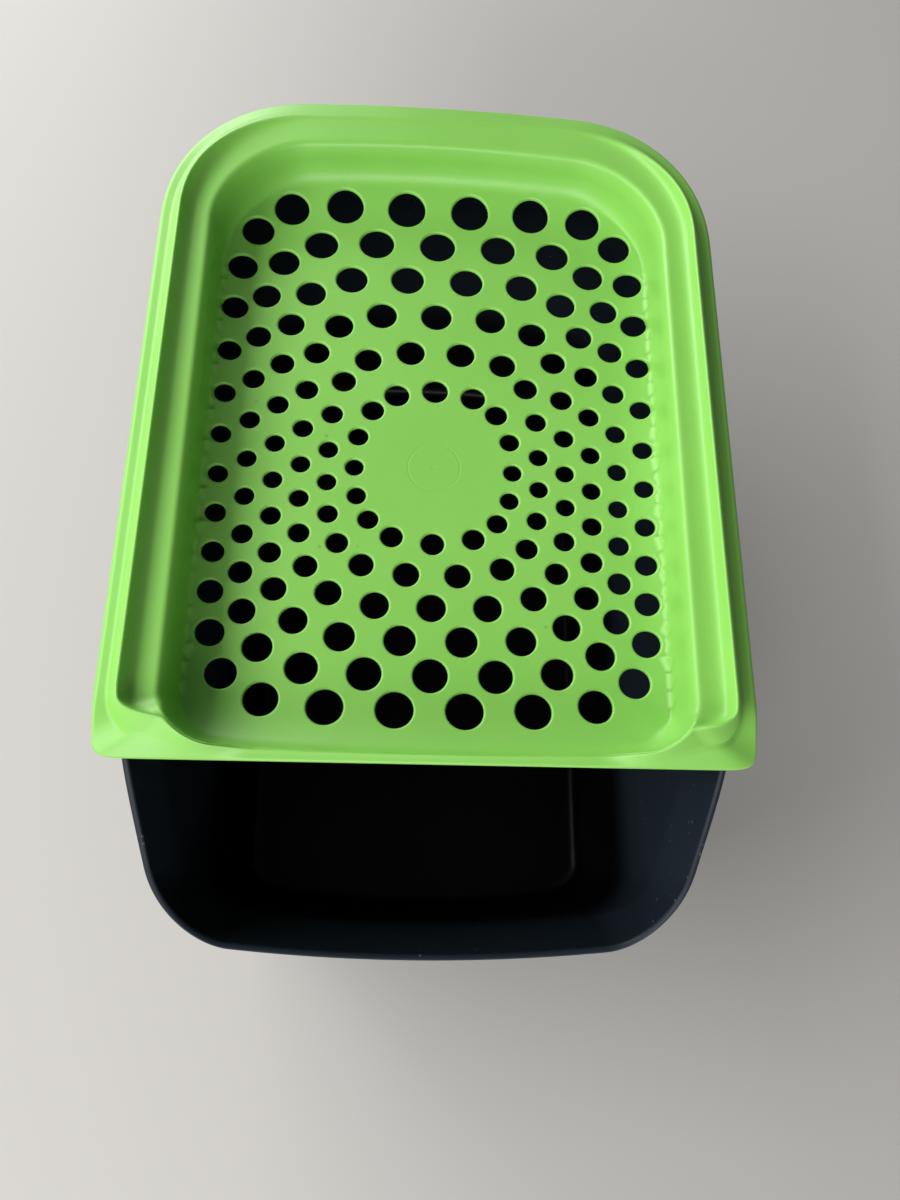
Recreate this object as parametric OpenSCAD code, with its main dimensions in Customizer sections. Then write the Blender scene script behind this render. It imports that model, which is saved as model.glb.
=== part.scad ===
// Onion storage container: an open-fronted black bin with a ventilated green lid
// pressed over its rim. The origin is under the middle, X is the width, Y runs from
// the open front to the back, and Z is up.

/* [Overall] */
// Length from the front lip of the bin to the back edge of the lid
overall_l = 304; // [290:1:320]
// Width over the lid
overall_w = 198; // [190:1:210]
// Height of the vent tray's floor above the table
tray_floor_h = 144; // [120:1:170]

/* [Lid outline] */
// Length of the lid from its front edge to its back edge
lid_l = 246.5; // [236:0.5:256]
// Distance from the outer edge to the ridge's crest at the sides
flange_w = 8.7; // [8:0.1:10]
// Distance from the outer edge to the line on which the ridge fades at the back
fade_line_w = 8.4; // [8:0.1:10]
// Width of the ledge between the ridge and the tray
ledge_w = 10.1; // [8:0.1:13]
// Depth of the plain band behind the tray
back_band_w = 20.5; // [17:0.1:24]
// Width of the front lip
lip_w = 2.8; // [2.6:0.1:4]
// How much narrower each half of the tray is at the front than at the back
tray_taper = 1.2; // [0:0.1:2]
// Corner radius of the tray at the front
tray_front_r = 16; // [15:0.5:22]
// Corner radius of the tray at the back
tray_back_r = 32; // [26:0.5:38]
// How far the tray's front edge bows outwards
lip_bow = 1.6; // [0:0.1:3]
// How far the back edges bow outwards
back_bow = 6; // [0:0.1:8]

/* [Lid section] */
// Thickness of the lid's shell
shell_t = 1.8; // [1.4:0.1:2.2]
// Height of the ledge above the tray's floor
ledge_z = 19; // [17:0.1:22]
// Height of the ridge above the ledge
ridge_h = 5; // [4:0.1:7]
// How far the outer flange lies below the ledge
flange_drop = 2; // [1:0.1:3]
// Height of the skirt round the lid
skirt_h = 10.5; // [6:0.1:12]
// Height of the front lip above the tray's floor
lip_z = 12.6; // [11:0.1:14]
// Height of the lid's front edge above the tray's floor
front_edge_z = 11.6; // [11.4:0.1:12.4]
// Run of the tray's wall at the sides
wall_side_run = 2.6; // [2.2:0.1:3]
// Run of the tray's wall at the back
wall_back_run = 4.6; // [3.5:0.1:5.5]
// Run of the tray's wall at the front
wall_front_run = 6; // [4:0.5:7]
// Small steep step at the top of the tray's wall
tray_step_h = 4; // [2:0.1:5]
// How high the tray's floor rises at the foot of its wall at the sides
dish_side_h = 1.4; // [0.6:0.1:1.6]
// How high the tray's floor rises at the foot of its wall at the front and back
dish_end_h = 3; // [1:0.1:3.2]

/* [Vent holes] */
// Number of rings of holes
rings = 6; // [3:1:6]
// Number of holes in the innermost ring
first_ring_holes = 16; // [12:4:20]
// Number of holes that each further ring adds
ring_step_holes = 4; // [4:4:4]
// Half the width of the innermost ring
inner_ring_a = 27.3; // [24:0.1:32]
// Distance from the innermost ring's middle to its back
inner_ring_b = 30.2; // [27:0.1:36]
// Distance from the innermost ring's middle to its front
inner_ring_f = 28.4; // [25:0.1:33]
// Gap between the outermost ring and the tray's edge at the sides
vent_side_gap = 7.3; // [6.8:0.1:12]
// Gap between the outermost ring and the tray's edge at the back
vent_back_gap = 13.5; // [12.5:0.1:20]
// Gap between the outermost ring and the tray's edge at the front
vent_front_gap = 16.7; // [14:0.1:20]
// How far the pattern's middle lies in front of the tray's middle
vent_shift = 10.8; // [6:0.1:14]
// Mean radius of the holes in the innermost ring
inner_hole_r = 3.7; // [3:0.05:3.8]
// Mean radius of the holes in the outermost ring
outer_hole_r = 4.95; // [4:0.05:5.1]

/* [Bin] */
// Wall thickness of the bin
wall_t = 2.2; // [1.8:0.1:3]
// How far the bin's rim lies inside the lid's outer edge
rim_inset = 6.6; // [6.5:0.1:7.4]
// Draft of the side walls in degrees
side_draft = 5.2; // [4:0.1:8]
// Draft of the front wall in degrees
front_draft = 7; // [4:0.1:9]
// Height of the front lip above the table
front_lip_h = 92; // [80:1:92]
// Slope of the open front's rim in degrees
front_slope = 46.5; // [44:0.1:48]
// Corner radius of the bin at the front
bin_front_r = 22; // [17:0.5:26]
// How far the front wall bows outwards
front_bow = 6.5; // [0:0.1:9]
// Height of the flared band below the rim
band_h = 26; // [18:0.5:32]
// How far the flared band leans out at the sides and back
band_side_lean = 2.4; // [0:0.1:4]
// How far the flared band leans out at the front
band_front_lean = 6.6; // [0:0.1:9]
// Height of the recess inside the foot ring
foot_h = 1.2; // [0.6:0.1:2]
// Width of the foot ring
foot_w = 6; // [4:0.5:9]
// Thickness of the bin's floor
floor_t = 2.4; // [2:0.1:4]

/* [Fit] */
// Clearance between the bin's rim and the lid
fit_gap = 0.3; // [0.25:0.05:0.5]

/* [Hidden] */

lid_green = [0.50, 0.85, 0.27];
bin_black = [0.06, 0.06, 0.07];

// Stations round half an outline: front edge, front corner, side, back corner, back edge
n_front = 8;
n_corner = 20;
n_side = 8;
n_back = 11;
n_edge = 6;
i_corner = n_front;
i_side = i_corner + n_corner;
i_back = i_side + n_side;
i_edge = i_back + n_back;
n_half = i_edge + n_edge;

// Outlines of the lid
front_y = -overall_l / 2;
back_y = overall_l / 2;
lid_front_y = back_y - lid_l;
half_w = overall_w / 2;
crest_hw = half_w - flange_w;
tray_hw = crest_hw - ledge_w;
tray_front_y = lid_front_y + lip_w;
tray_back_y = back_y - back_band_w;
crest_back_y = back_y - fade_line_w;
tray_mid_y = (tray_front_y + tray_back_y) / 2;
vent_y = tray_mid_y - vent_shift;

// Middles of the tray's corners, which every outline of the lid turns about
fc = [tray_hw - tray_front_r, tray_front_y + lip_bow + tray_front_r];
bc = [tray_hw - tray_back_r, tray_back_y - back_bow - tray_back_r];

// Heights of the lid
ledge_h = tray_floor_h + ledge_z;
flange_h = ledge_h - flange_drop;
lip_h = tray_floor_h + lip_z;
front_edge_h = tray_floor_h + front_edge_z;
lip_step_h = 0.6;
edge_r = 1.6;
round_share = 0.3;
fade_low = 0.94;

// The ledge opens out between these two angles of the front corner
open_from = 50;
open_to = 80;

function smooth(t) = let (c = clamp(t)) c * c * (3 - 2 * c);
function mix(a, b, t) = a + (b - a) * t;
function clamp(t) = min(1, max(0, t));
function super_r(a, b, p, ang) = pow(pow(abs(sin(ang)) / a, p) + pow(abs(cos(ang)) / b, p), -1 / p);
function soft_min(a, b, k) = -k * ln(exp(-a / k) + exp(-b / k));

// A point of a rounded outline at one station: o is [half width, front y, back y, front power, back
// power], and f and b are the middles of its front and back corners
function round_at(o, f, b, i) =
    i <= i_corner ? [f.x * i / n_front, o[1]]
    : i <= i_side ? let (g = 90 * (i - i_corner) / n_corner,
        r = super_r(o[0] - f.x, f.y - o[1], o[3], g)) [f.x + r * sin(g), f.y - r * cos(g)]
    : i <= i_back ? [o[0], mix(f.y, b.y, (i - i_side) / n_side)]
    : i <= i_edge ? let (g = 90 * (1 - (i - i_back) / n_back),
        r = super_r(o[0] - b.x, o[2] - b.y, o[4], g)) [b.x + r * sin(g), b.y + r * cos(g)]
    : [b.x * (1 - (i - i_edge) / n_edge), o[2]];

// The same outline with its front and back edges bowed outwards by bows
function at(o, f, b, bows, i) = let (
    p = round_at(o, f, b, i),
    share = 1 - pow(p.x / o[0], 2),
    ahead = clamp((f.y - p.y) / (f.y - o[1])),
    behind = clamp((p.y - b.y) / (o[2] - b.y)))
    [p.x, p.y + share * (behind * bows[1] - ahead * bows[0])];

// Angle of a station within the front corner, 0 at the front and 90 at the side
function corner_angle(i) = min(90, max(0, 90 * (i - i_corner) / n_corner));

// How far the ledge has opened out, 0 along the front lip and 1 along the sides and back
function opened(i) = smooth((corner_angle(i) - open_from) / (open_to - open_from));

// How far the ridge has faded, 0 along the sides and 1 in the middle of the back
fade_delay = 2;
function faded(i) = smooth((i - i_back - fade_delay) / (n_back + 1));

// The tray's edge moved inwards by d, narrowing towards the front
function taper(y) = 1 + tray_taper / tray_hw * (y - tray_mid_y) / (tray_back_y - tray_front_y);
function tray_at(i, d) = let (
    p = at([tray_hw - d, tray_front_y + lip_bow + d, tray_back_y - back_bow - d, 2, 2],
        fc, bc, [lip_bow, back_bow], i))
    [p.x * taper(p.y), p.y];

// The outer edge moved inwards by d
edge_front_power = 12;
edge_back_power = 2.3;
function edge_at(i, d) =
    at([half_w - d, lid_front_y + d, back_y - back_bow - d, edge_front_power, edge_back_power],
        fc, bc, [0, back_bow], i);

// The ridge's crest. Round the front corner it is the tray's edge pushed outwards as the ledge opens
crest_power = 2.15;
lip_crest_out = 0.3;
function crest_side_at(i) =
    at([crest_hw, tray_front_y, crest_back_y - back_bow, 2, crest_power], fc, bc, [0, back_bow], i);
function crest_at(i) =
    i > i_side ? crest_side_at(i)
    : let (g = corner_angle(i), t = tray_at(i, 0),
        out = mix(lip_crest_out, crest_hw - tray_at(i_side, 0).x, opened(i)))
        [t.x + out * sin(g), t.y - out * cos(g)];

// Heights along the crest, the tray's edge and the outer edge
lip_climb_from = 50;
lip_climb_run = 36;
function crest_h(i) =
    i >= i_side ? ledge_h + ridge_h * (1 - fade_low * faded(i))
    : mix(lip_h, ledge_h + ridge_h, smooth((crest_at(i).x - lip_climb_from) / lip_climb_run));
lip_fall = 0.3;
function tray_edge_h(i) = mix(crest_h(i) - lip_fall, ledge_h, opened(i));
edge_fall_run = 20;
function edge_h(i) = mix(front_edge_h, flange_h, smooth((edge_at(i, 0).y - lid_front_y) / edge_fall_run));
function step_h(i) = mix(lip_step_h, tray_step_h, opened(i));

// A point across the lid: q below 0 is q mm inside the tray's edge, 0 the tray's edge, 1 the crest
// and 2 the outer edge
function across(i, q) =
    q < 0 ? tray_at(i, -q)
    : q <= 1 ? mix(tray_at(i, 0), crest_at(i), q)
    : mix(crest_at(i), edge_at(i, 0), q - 1);

// The tray's wall on a quarter of a superellipse, with s from 1 at its top to 0 at its foot: how far
// inside the tray's edge it is there, its height and its tilt. The floor's rise goes on along it
wall_start = 1.2;
front_wall_share = 0.3;
wall_power = 2.6;
dish_on = 0.8;
function wall_run(i) = mix(mix(wall_front_run, wall_side_run, opened(i)), wall_back_run, faded(i));
function dish_h(i) = mix(mix(dish_end_h, dish_side_h, smooth(corner_angle(i) / 90)), dish_end_h, faded(i));
function wall_in(i, s) = wall_start * mix(front_wall_share, 1, opened(i)) + wall_run(i) * (1 - s);
function wall_climb(i) = tray_edge_h(i) - step_h(i) - tray_floor_h - dish_h(i) * (1 + dish_on);
function wall_rise(s) = 1 - pow(1 - pow(clamp(s), wall_power), 1 / wall_power);
function wall_h(i, s) = tray_floor_h + dish_h(i) * (1 + dish_on * s) + wall_climb(i) * wall_rise(s);
tilt_span = 0.02;
function wall_tilt(i, s) = atan((wall_h(i, s + tilt_span) - wall_h(i, s - tilt_span))
    / (2 * tilt_span * wall_run(i)));

function pt3(p, z) = [p.x, p.y, z];

// Rows of the lid's upper side, from the skirt's foot inwards to the tray's floor
front_edge_t = shell_t - 0.2;
skirt_start = 2;
function skirt_share(i) = smooth((edge_at(i, 0).y - lid_front_y - skirt_start) / edge_fall_run);
function skirt_foot_h(i) = edge_h(i) - mix(front_edge_t, skirt_h, skirt_share(i));
front_edge_share = 0.4;
front_slope_share = 0.5;
ridge_foot_q = 1.44;
crest_q = 1.06;
crest_fall = 0.3;
edge_fall = 0.2;
step_share = 0.6;
ledge_rows = [[0.93, 0.3], [0.85, 0.7], [0.77, 0.84], [0.66, 0.94], [0.45, 1], [0.12, 1]];
wall_rows = [1, 0.95, 0.87, 0.75, 0.56, 0.31, 0];
dish_rows = [[0.95, 0.44], [0.9, 0.11], [0.85, 0]];
function dish_point(i, k, drop) = let (p = tray_at(i, wall_in(i, 0)))
    [k[0] * p.x, vent_y + k[0] * (p.y - vent_y), tray_floor_h + dish_h(i) * k[1] - drop];
function upper(i) = let (
    w = opened(i), side = w * (1 - faded(i)), r = edge_r * mix(front_edge_share, 1, skirt_share(i)),
    c = crest_h(i), e = edge_h(i), t = tray_edge_h(i), ledge = mix(t, ledge_h, w))
    concat([
        pt3(edge_at(i, 0), skirt_foot_h(i)),
        pt3(edge_at(i, 0), e - r),
        pt3(edge_at(i, round_share * r), e - round_share * r),
        pt3(edge_at(i, r), e),
        pt3(across(i, ridge_foot_q), mix(mix(c, e, front_slope_share), e, side)),
        pt3(across(i, crest_q), c - crest_fall * side),
        pt3(across(i, 1), c),
    ],
    [for (r = ledge_rows) pt3(across(i, r[0]), mix(c, ledge, r[1]))],
    [
        pt3(across(i, 0), t - edge_fall * w),
        pt3(tray_at(i, wall_in(i, 1) / 2), t - step_share * step_h(i)),
    ],
    [for (s = wall_rows) pt3(tray_at(i, wall_in(i, s)), wall_h(i, s))],
    [for (k = dish_rows) dish_point(i, k, 0)]);

// Rows of the lid's underside, from the tray's floor outwards to the skirt's foot. Under the ridge
// they form the groove that takes the bin's rim
under_wall_rows = [0, 0.37, 0.62, 0.81, 0.91];
groove_h = 3.6;
groove_foot_share = 0.43;
lip_t = 1.1 * shell_t;
skirt_foot_step = 0.2;
function under_front_h(i, q) = mix(crest_h(i), edge_h(i), max(0, q - 1)) - lip_t;
function under_row(i, q_front, q_side, z_side) = let (w = opened(i))
    pt3(across(i, mix(q_front, q_side, w)), mix(under_front_h(i, q_front), z_side, w));
function under(i) = let (
    c = crest_h(i), e = edge_h(i), flat = ledge_h - shell_t,
    roof = (i < i_side ? c : ledge_h + ridge_h) - groove_h)
    concat(
    [for (n = [2, 1, 0]) dish_point(i, dish_rows[n], shell_t)],
    [for (s = under_wall_rows) let (g = wall_tilt(i, s))
        pt3(tray_at(i, wall_in(i, s) - shell_t * sin(g)), wall_h(i, s) - shell_t * cos(g))],
    [
        under_row(i, 0.85, 0.18, flat),
        under_row(i, 1, 0.87, flat),
        under_row(i, 1.1, 1.12, mix(roof, flat, faded(i))),
        under_row(i, 1.2, 1.34, mix(e, mix(c, e, groove_foot_share), faded(i)) - shell_t),
        pt3(edge_at(i, shell_t), e - mix(front_edge_t - skirt_foot_step, shell_t, skirt_share(i))),
        pt3(edge_at(i, shell_t), skirt_foot_h(i)),
    ]);

// A closed skin from the rows at every station. The left half mirrors the right, and a fan about
// mid_y closes the first row and the last
function ring(half) = concat(half, [for (i = [len(half) - 2:-1:1]) [for (p = half[i]) [-p.x, p.y, p.z]]]);
module skin(half, mid_y) {
    stations = ring(half);
    n = len(stations);
    m = len(stations[0]);
    sides = [for (i = [0:n - 1]) for (j = [0:m - 2]) let (k = (i + 1) % n)
        each [[i * m + j, k * m + j + 1, k * m + j], [i * m + j, i * m + j + 1, k * m + j + 1]]];
    first = [for (i = [0:n - 1]) [n * m, i * m, ((i + 1) % n) * m]];
    last = [for (i = [0:n - 1]) [n * m + 1, ((i + 1) % n) * m + m - 1, i * m + m - 1]];
    middles = [[0, mid_y, half[0][0].z], [0, mid_y, half[0][m - 1].z]];
    polyhedron(concat([for (s = stations) each s], middles), concat(sides, first, last));
}

// Vent holes: rings of true round holes on egg-shaped outlines. They shrink with a lid narrower
// than drawn_w, so that they keep apart
drawn_w = 198;
vent_share = min(1, overall_w / drawn_w);
outer_ring_a = tray_hw - vent_side_gap;
outer_ring_b = tray_back_y - vent_y - vent_back_gap;
outer_ring_f = vent_y - tray_front_y - vent_front_gap;

// Sine terms, in degrees, that turn a hole of the innermost ring, and what each further ring adds
turn_terms = [0.2, 1.9, -1.4, 2.5, 0.26, 0.6];
turn_growth = [-0.68, -0.15, 0, 0.3, 0, 0];
function hole_angle(tau, k) = tau + (turn_terms + k * turn_growth) * [for (j = [1:6]) sin(j * tau)];

// The outlines grow squarer from ring to ring, and swell and shrink by small cosine terms
ring_power = 2.5;
ring_power_step = 0.85;
third_swell = -0.0018;
fourth_swell = 0.001;
function hole_at(k, tau) = let (
    u = k / (rings - 1),
    g = hole_angle(tau, k),
    a = mix(inner_ring_a * vent_share, outer_ring_a, u),
    b = cos(g) > 0 ? mix(inner_ring_b, outer_ring_b, u) : mix(inner_ring_f, outer_ring_f, u),
    r = super_r(a, b, ring_power + ring_power_step * k, g)
        * (1 + k * (third_swell * cos(3 * tau) + fourth_swell * cos(4 * tau))))
    [r * sin(g), vent_y + r * cos(g)];

// Holes grow from ring to ring, towards the back, and more towards both ends than at the sides
back_growth = [0.29, 0.49];
end_growth = [0.53, 1.63];
function hole_r(k, tau) = let (u = k / (rings - 1)) vent_share
    * (mix(inner_hole_r, outer_hole_r, u) + mix(back_growth[0], back_growth[1], u) * cos(tau)
    + mix(end_growth[0], end_growth[1], u) * cos(2 * tau));
drill_below = 6;
drill_h = 26;
module vent_holes() {
    for (k = [0:rings - 1]) {
        holes = first_ring_holes + ring_step_holes * k;
        for (t = [0:holes - 1]) {
            tau = 360 * (t + 0.5 * (k % 2)) / holes;
            p = hole_at(k, tau);
            translate([p.x, p.y, tray_floor_h - drill_below])
                cylinder(h = drill_h, r = hole_r(k, tau), $fn = 32);
        }
    }
}

module lid() {
    color(lid_green)
    difference() {
        skin([for (i = [0:n_half]) concat(under(i), upper(i))], vent_y);
        vent_holes();
    }
}

// Outline of the bin at a height, moved inwards by d, with the lower wall's lean taken off in the
// share lean. Below the band the middles of the front corners follow the draft
rim_seat = 2.3;
rim_back_gap = 0.4;
rim_below_ledge = 0.2;
least_corner_r = 5;
rim_top_h = ledge_h + ridge_h - groove_h - rim_seat - fit_gap;
rim_low = rim_top_h - (ledge_h - shell_t - fit_gap - rim_below_ledge);
rim_hw = half_w - rim_inset;
rim_back_y = back_y - back_bow - rim_inset - rim_back_gap;
lip_top_y = front_y + front_bow - (rim_top_h - front_lip_h) * tan(front_draft);
bin_fc = [rim_hw - (rim_top_h - front_lip_h) * tan(side_draft) - bin_front_r,
    front_y + front_bow + bin_front_r];
function bin_at(i, z, d, lean) = let (
    drop = rim_top_h - z,
    below = max(0, front_lip_h - band_h - z),
    hw = rim_hw - drop * tan(side_draft) - d - lean * band_side_lean,
    front = lip_top_y + drop * tan(front_draft) + d + lean * band_front_lean,
    middle = [min(bin_fc.x - below * tan(side_draft), hw - least_corner_r),
        max(bin_fc.y + below * tan(front_draft), front + least_corner_r)])
    at([hw, front, rim_back_y - drop * tan(side_draft) - d - lean * band_side_lean, 2, crest_power],
        middle, bc, [front_bow, back_bow], i);

// Height of the rim at a station: level under the lid, then down along the slope to the front lip
rim_bend = 3;
function slope_h(y) = front_lip_h + tan(front_slope) * (y - front_y);
function rim_step(i, z) = soft_min(rim_top_h - rim_low * faded(i), slope_h(bin_at(i, z, 0, 0).y), rim_bend);
function rim_h(i) = rim_step(i, rim_step(i, rim_step(i, rim_step(i, rim_top_h))));

// Rows of the bin from the recess under the floor, up the outside, over the rim and down inside
base_r = 4;
inner_r = 6;
rim_r = wall_t / 2;
function bin_rows(i) = let (top = rim_h(i), mid = top - band_h, inside = foot_h + floor_t) [
    pt3(bin_at(i, 0, base_r + foot_w + foot_h, 1), foot_h),
    pt3(bin_at(i, 0, base_r + foot_w, 1), 0),
    pt3(bin_at(i, 0, base_r, 1), 0),
    pt3(bin_at(i, 0, round_share * base_r, 1), round_share * base_r),
    pt3(bin_at(i, base_r, 0, 1), base_r),
    pt3(bin_at(i, mid, 0, 1), mid),
    pt3(bin_at(i, top, 0, 0), top - rim_r),
    pt3(bin_at(i, top, round_share * rim_r, 0), top - round_share * rim_r),
    pt3(bin_at(i, top, rim_r, 0), top),
    pt3(bin_at(i, top, wall_t - round_share * rim_r, 0), top - round_share * rim_r),
    pt3(bin_at(i, top, wall_t, 0), top - rim_r),
    pt3(bin_at(i, mid, wall_t, 1), mid),
    pt3(bin_at(i, inside + inner_r, wall_t, 1), inside + inner_r),
    pt3(bin_at(i, inside, wall_t + round_share * inner_r, 1), inside + round_share * inner_r),
    pt3(bin_at(i, inside, wall_t + inner_r, 1), inside),
];

module container() {
    color(bin_black)
    skin([for (i = [0:n_half]) bin_rows(i)], 0);
}

container();
lid();
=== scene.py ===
"""Onion storage container: a lime ventilated lid pressed over an open-fronted black bin.

Surfaces are worked out in millimetres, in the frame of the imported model, and turn into metres
when a mesh is made. X is the width, Y runs from the open front to the back, and Z is up.
"""

import logging
from dataclasses import dataclass, field
from enum import Enum

import bpy
import numpy as np
from bpy.types import Material, Node, NodeSocket, NodeTree, Object
from mathutils import Matrix, Vector
from mathutils.geometry import delaunay_2d_cdt


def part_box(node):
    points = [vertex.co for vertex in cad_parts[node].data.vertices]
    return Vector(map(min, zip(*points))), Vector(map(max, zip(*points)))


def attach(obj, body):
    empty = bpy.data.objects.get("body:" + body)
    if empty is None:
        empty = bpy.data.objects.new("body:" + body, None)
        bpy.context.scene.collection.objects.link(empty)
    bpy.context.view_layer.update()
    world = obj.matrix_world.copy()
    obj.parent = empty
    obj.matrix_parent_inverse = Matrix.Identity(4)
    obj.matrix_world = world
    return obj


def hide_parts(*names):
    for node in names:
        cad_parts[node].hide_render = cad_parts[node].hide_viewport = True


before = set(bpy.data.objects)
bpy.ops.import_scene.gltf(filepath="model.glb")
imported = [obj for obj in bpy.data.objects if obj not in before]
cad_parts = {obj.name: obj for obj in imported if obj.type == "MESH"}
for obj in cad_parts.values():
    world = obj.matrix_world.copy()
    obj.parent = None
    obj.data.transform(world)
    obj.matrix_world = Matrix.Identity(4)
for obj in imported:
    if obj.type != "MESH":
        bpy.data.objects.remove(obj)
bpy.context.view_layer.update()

MM = 0.001
TINY = 1e-12
CLOSE = 1e-6
LOG = logging.getLogger("onion_container")
Array = np.ndarray
Control = tuple[Array, Array | float, int]


class Band(Enum):
    """The stretches that half an outline is walked in, with the number of steps of each."""

    FRONT = 40
    FRONT_CORNER = 64
    SIDE = 56
    BACK_CORNER = 52
    BACK = 28


def smooth(t: Array) -> Array:
    """Smoothstep: 0 below 0, 1 above 1, and 3t^2 - 2t^3 between."""
    c = np.clip(t, 0.0, 1.0)
    return c * c * (3.0 - 2.0 * c)


def mix(a: Array, b: Array, t: Array) -> Array:
    """Linear blend from a at t = 0 to b at t = 1."""
    return a + (b - a) * t


def super_radius(a: Array, b: Array, power: float, angle: Array) -> Array:
    """Radius of a superellipse with half axes a (at 90 degrees) and b (at 0), at an angle."""
    s, c = np.abs(np.sin(angle)) / a, np.abs(np.cos(angle)) / b
    return (s ** power + c ** power) ** (-1.0 / power)


def soft_min(a: Array, b: Array, bend: float) -> Array:
    """Smaller of two values, with the corner between them rounded over the length bend."""
    return -bend * np.logaddexp(-a / bend, -b / bend)


def even(start: float, stop: float, band: Band) -> Array:
    """Evenly spaced values along a band, without its end, which is the next band's start."""
    return np.linspace(start, stop, band.value, endpoint=False)


@dataclass(frozen=True)
class Stations:
    """The places at which every outline is sampled, along half a ring from front to back."""

    front: Array = field(default_factory=lambda: even(0.0, 1.0, Band.FRONT))
    corner: Array = field(default_factory=lambda: even(0.0, np.pi / 2, Band.FRONT_CORNER))
    side: Array = field(default_factory=lambda: even(0.0, 1.0, Band.SIDE))
    rear: Array = field(default_factory=lambda: even(np.pi / 2, 0.0, Band.BACK_CORNER))
    back: Array = field(default_factory=lambda: np.linspace(1, 0, Band.BACK.value + 1))

    def count(self) -> int:
        """Number of stations in the half ring, both ends included."""
        return sum(len(a) for a in (self.front, self.corner, self.side, self.rear, self.back))

    def corner_angle(self) -> Array:
        """Angle in the front corner at each station: 0 along the front, 90 degrees past the corner."""
        rest = self.count() - len(self.front) - len(self.corner)
        return np.concatenate([0 * self.front, self.corner, np.full(rest, np.pi / 2)])

    def past_side(self) -> Array:
        """Share of the way round the back corner: 0 along the sides, and 1 from the corner's end."""
        ahead = self.count() - len(self.rear) - len(self.back)
        turn = 1.0 - self.rear / (np.pi / 2)
        return np.concatenate([np.zeros(ahead), turn, np.ones(len(self.back))])


@dataclass(frozen=True)
class Outline:
    """A rounded outline in plan: straight sides, superelliptic corners and bowed ends."""

    half_w: Array
    front_y: Array
    back_y: Array
    front_mid: tuple[Array, Array]
    back_mid: tuple[float, float]
    front_power: float = 2.0
    back_power: float = 2.0
    front_bow: float = 0.0
    back_bow: float = 0.0

    def walk(self, st: Stations) -> Array:
        """Points of the right half, from the middle of the front to the middle of the back.

        The corners follow superellipses about the outline's two corner middles. The ends are then
        pushed out by the bow times 1 - (x / half width)^2, growing from 0 at the corner's middle.

        Args:
            st: the stations. Sizes of the outline may be single numbers or one value a station.

        Returns:
            Array of shape (stations, 2).
        """
        n = st.count()
        sizes = (self.half_w, self.front_y, self.back_y)
        half_w, front_y, back_y = (np.broadcast_to(v, n) for v in sizes)
        (bx, by), (fx, fy) = self.back_mid, (np.broadcast_to(v, n) for v in self.front_mid)
        cuts = np.cumsum([0, len(st.front), len(st.corner), len(st.side), len(st.rear), len(st.back)])
        front, corner, side, rear, back = (slice(a, b) for a, b in zip(cuts, cuts[1:]))
        x, y = np.empty(n), np.empty(n)
        x[front], y[front] = fx[front] * st.front, front_y[front]
        cx, cy = fx[corner], fy[corner]
        r = super_radius(half_w[corner] - cx, cy - front_y[corner], self.front_power, st.corner)
        x[corner], y[corner] = cx + r * np.sin(st.corner), cy - r * np.cos(st.corner)
        x[side], y[side] = half_w[side], mix(fy[side], by, st.side)
        r = super_radius(half_w[rear] - bx, back_y[rear] - by, self.back_power, st.rear)
        x[rear], y[rear] = bx + r * np.sin(st.rear), by + r * np.cos(st.rear)
        x[back], y[back] = bx * st.back, back_y[back]
        share = 1.0 - (x / half_w) ** 2
        ahead = np.clip((fy - y) / (fy - front_y), 0, 1)
        behind = np.clip((y - by) / (back_y - by), 0, 1)
        return np.stack([x, y + share * (behind * self.back_bow - ahead * self.front_bow)], axis=1)


def with_height(points: Array, z: Array) -> Array:
    """Plan points with their heights, as an array of shape (stations, 3)."""
    return np.column_stack([points, np.broadcast_to(z, len(points))])


def rounded_rows(controls: list[Control]) -> Array:
    """Carries a section round the stations, with each of its corners rounded.

    At each inner corner P, the section runs on a quadratic Bezier curve from a point at the given
    length before P to a point at the same length after it, with P as the middle control point. The
    length is cut to a little under half of a side that is too short for it.

    Args:
        controls: for each control row its points (stations, 3), its rounding length in mm, and the
            number of points on the rounding, 1 for a sharp corner.

    Returns:
        Array of shape (stations, rows, 3).
    """
    longest_share = 0.47
    rows = [controls[0][0]]
    for before, here, after in zip(controls, controls[1:], controls[2:]):
        p, length, count = here
        if count < 2:
            rows.append(p)
            continue
        ends = []
        for other in (before[0], after[0]):
            gap = np.linalg.norm(other - p, axis=1)
            reach = np.minimum(length, longest_share * gap) / np.maximum(gap, TINY)
            ends.append(p + (other - p) * reach[:, None])
        for t in np.linspace(0, 1, count):
            rows.append((1 - t) ** 2 * ends[0] + 2 * t * (1 - t) * p + t ** 2 * ends[1])
    rows.append(controls[-1][0])
    return np.stack(rows, axis=1)


def full_ring(half: Array) -> Array:
    """Adds the mirrored left half to a grid whose first axis is the stations of the right half."""
    left = half[-2:0:-1] * np.array([-1.0, 1.0, 1.0])
    return np.concatenate([half, left], axis=0)


def ring_faces(stations: int, rows: int) -> Array:
    """Quads of a grid that is closed round its stations, as an array of shape (faces, 4)."""
    s, r = np.meshgrid(np.arange(stations), np.arange(rows - 1), indexing="ij")
    t = (s + 1) % stations
    quads = np.stack([s * rows + r, t * rows + r, t * rows + r + 1, s * rows + r + 1], axis=-1)
    return quads.reshape(-1, 4)


def vertex_normals(points: Array, quads: Array, triangles: Array) -> Array:
    """Normals at the vertices: the sum of the area vectors of the faces round each, at unit length."""
    total = np.zeros_like(points)
    for faces in (quads, triangles):
        corner = [points[faces[:, k]] for k in (0, 1, 2, -1)]
        area = np.cross(corner[2] - corner[0], corner[3] - corner[1])
        for k in range(faces.shape[1]):
            np.add.at(total, faces[:, k], area)
    length = np.linalg.norm(total, axis=1, keepdims=True)
    return total / np.maximum(length, TINY)


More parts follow.
